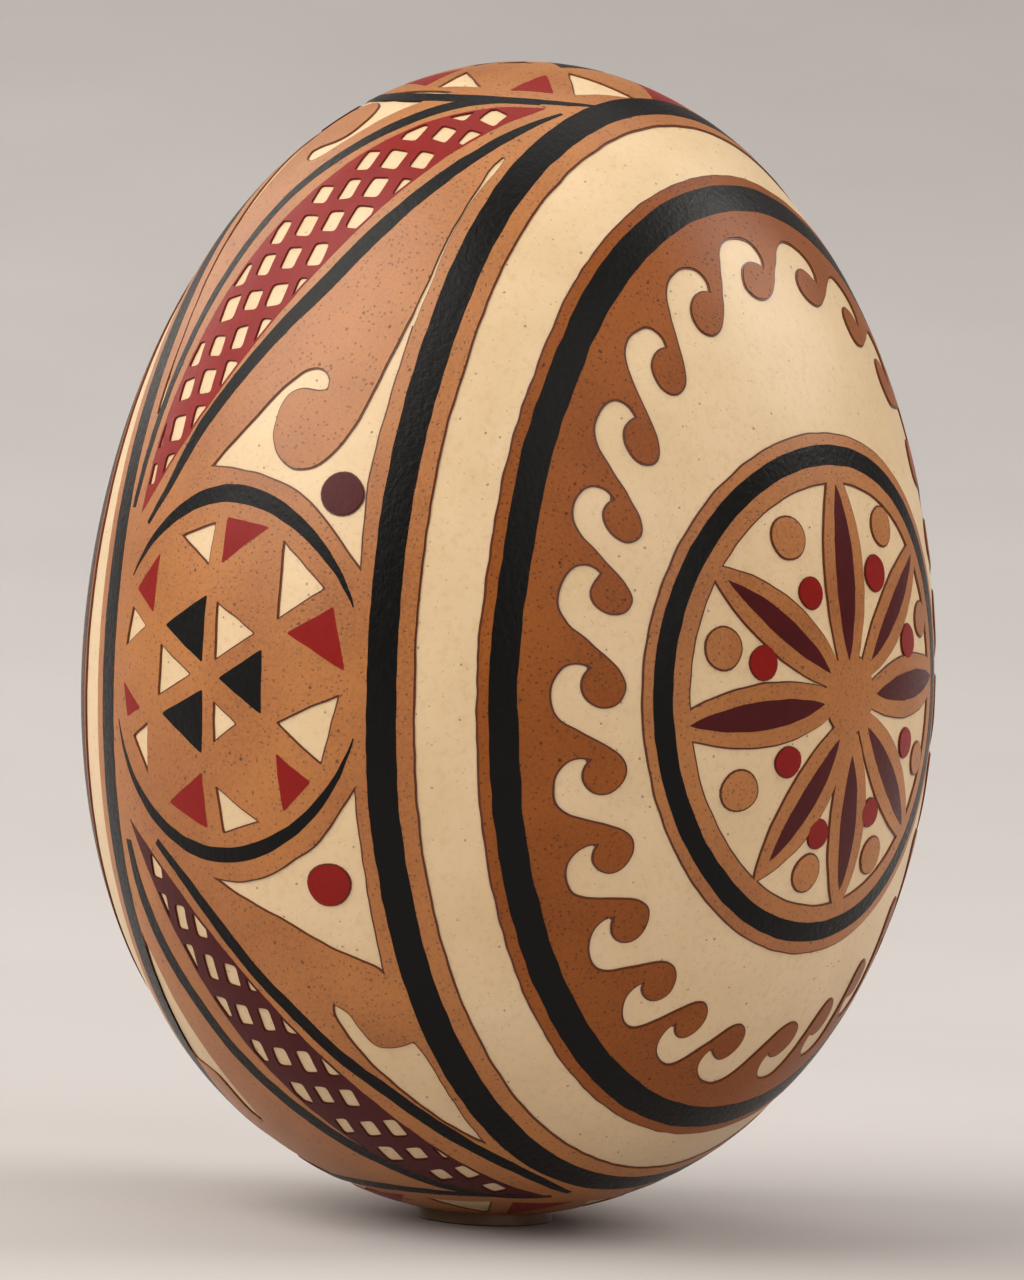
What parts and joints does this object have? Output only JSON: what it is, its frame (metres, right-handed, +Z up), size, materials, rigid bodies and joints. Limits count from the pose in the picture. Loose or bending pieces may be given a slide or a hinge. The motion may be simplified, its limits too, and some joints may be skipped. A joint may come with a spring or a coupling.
{
  "type": "decorated egg",
  "caption": "Blown hen's egg etched and dyed in the wax-resist way, with a belt of roundels and netted lenses, wave rings and rosettes, standing on a wax foot.",
  "frame": {"origin": "middle of the flat wax foot under the blunt end, at the bottom of the bounding box", "axes": "+Z up the egg's long axis to its narrower end, +X out through one rosette, -Y out through the front roundel of the belt"},
  "size_m": [0.0428, 0.0428, 0.0582],
  "materials": {
    "bare_shell": "etched shell under a satin varnish",
    "brown_skin": "the shell's own brown skin, speckled, under a satin varnish",
    "black_dye": "black dye, slightly wrinkled, under a glossy varnish",
    "red_dye": "red dye under a satin varnish",
    "maroon_dye": "dark red dye under a satin varnish",
    "membrane": "dry, matt membrane",
    "beeswax": "pressed beeswax"
  },
  "bodies": {
    "root": {"shell": "bare_shell", "outer_membrane": "membrane", "inner_membrane": "membrane", "wax_seal": "beeswax", "belt_spandrels": "brown_skin", "belt_line_right": "black_dye", "belt_line_left": "black_dye", "belt_edging_right": "brown_skin", "belt_edging_left": "brown_skin", "front_roundel_ground": "brown_skin", "back_roundel_ground": "brown_skin", "top_roundel_ground": "brown_skin", "bottom_roundel_ground": "brown_skin", "roundel_crescents": "black_dye", "roundel_black_triangles": "black_dye", "roundel_red_triangles": "red_dye", "lens_lines": "black_dye", "upper_lens_nets": "red_dye", "lower_lens_nets": "maroon_dye", "upper_spandrel_dots": "maroon_dye", "lower_spandrel_dots": "red_dye", "wave_edging_right": "brown_skin", "wave_edging_left": "brown_skin", "wave_line_right": "black_dye", "wave_line_left": "black_dye", "wave_band_right": "brown_skin", "wave_band_left": "brown_skin", "rosette_edging_right": "brown_skin", "rosette_edging_left": "brown_skin", "rosette_ring_right": "black_dye", "rosette_ring_left": "black_dye", "rosette_ground_right": "brown_skin", "rosette_ground_left": "brown_skin", "petal_cores_right": "maroon_dye", "petal_cores_left": "maroon_dye", "brown_dots_right": "brown_skin", "brown_dots_left": "brown_skin", "red_dots_right": "red_dye", "red_dots_left": "red_dye"}
  },
  "joints": []
}
